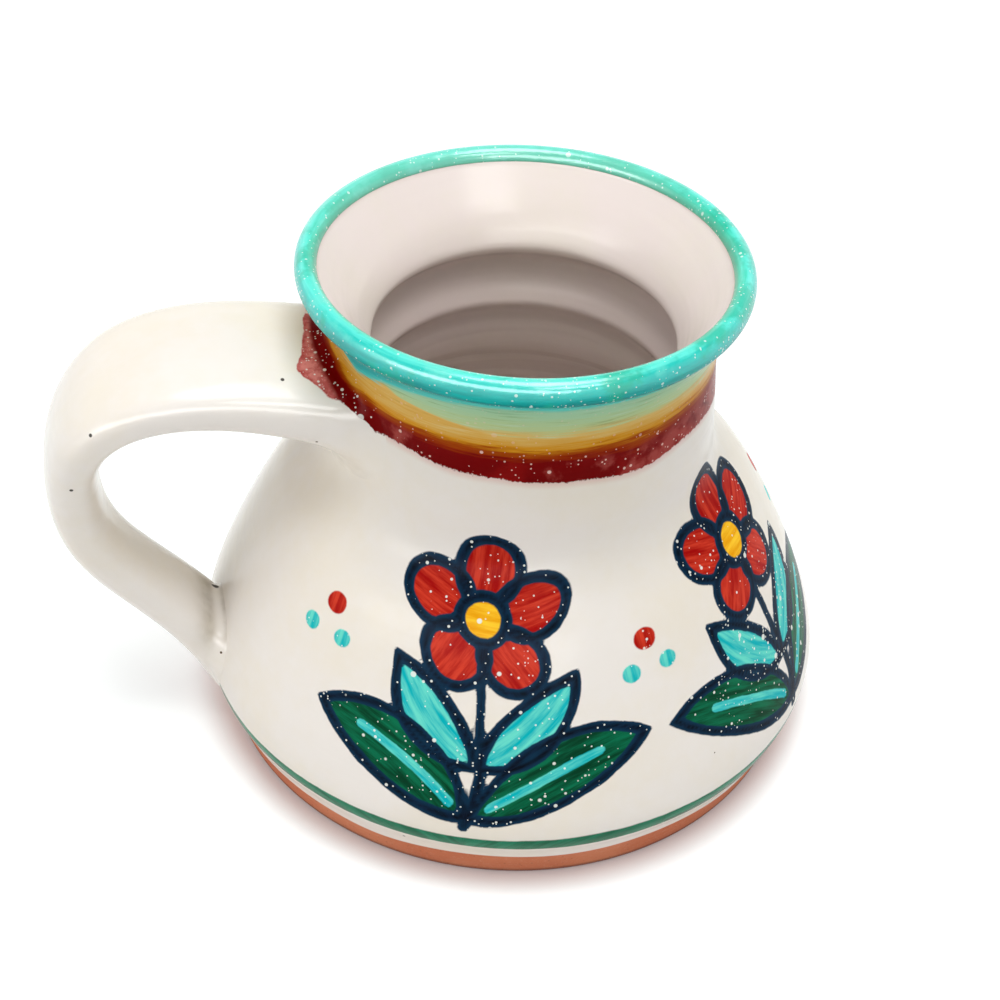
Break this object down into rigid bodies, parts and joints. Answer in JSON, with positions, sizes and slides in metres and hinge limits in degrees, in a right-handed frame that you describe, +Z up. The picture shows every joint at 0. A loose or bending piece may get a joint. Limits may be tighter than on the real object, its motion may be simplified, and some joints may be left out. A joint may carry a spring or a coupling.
{
  "type": "clay mug",
  "caption": "Wide-bottomed hand-thrown clay mug with a leaning flank, narrow neck, rolled lip and pulled strap handle, glazed inside and out above a bare foot.",
  "frame": {"origin": "middle of the flat bare foot, on the surface that the mug stands on", "axes": "+Z up, -X towards the handle"},
  "size_m": [0.1405, 0.115, 0.0943],
  "materials": {
    "bare_terracotta": "matt fired clay, unglazed",
    "white_glaze": "glossy off-white glaze",
    "liner_glaze": "glossy off-white liner glaze with a pink cast",
    "turquoise_glaze": "glossy brushed turquoise glaze"
  },
  "bodies": {
    "root": {"clay_body": "bare_terracotta", "handle_strap": "bare_terracotta", "upper_joint_coil": "white_glaze", "lower_joint_coil": "white_glaze", "outer_glaze": "white_glaze", "inner_glaze": "liner_glaze", "handle_glaze": "white_glaze", "rim_glaze": "turquoise_glaze"}
  },
  "joints": []
}
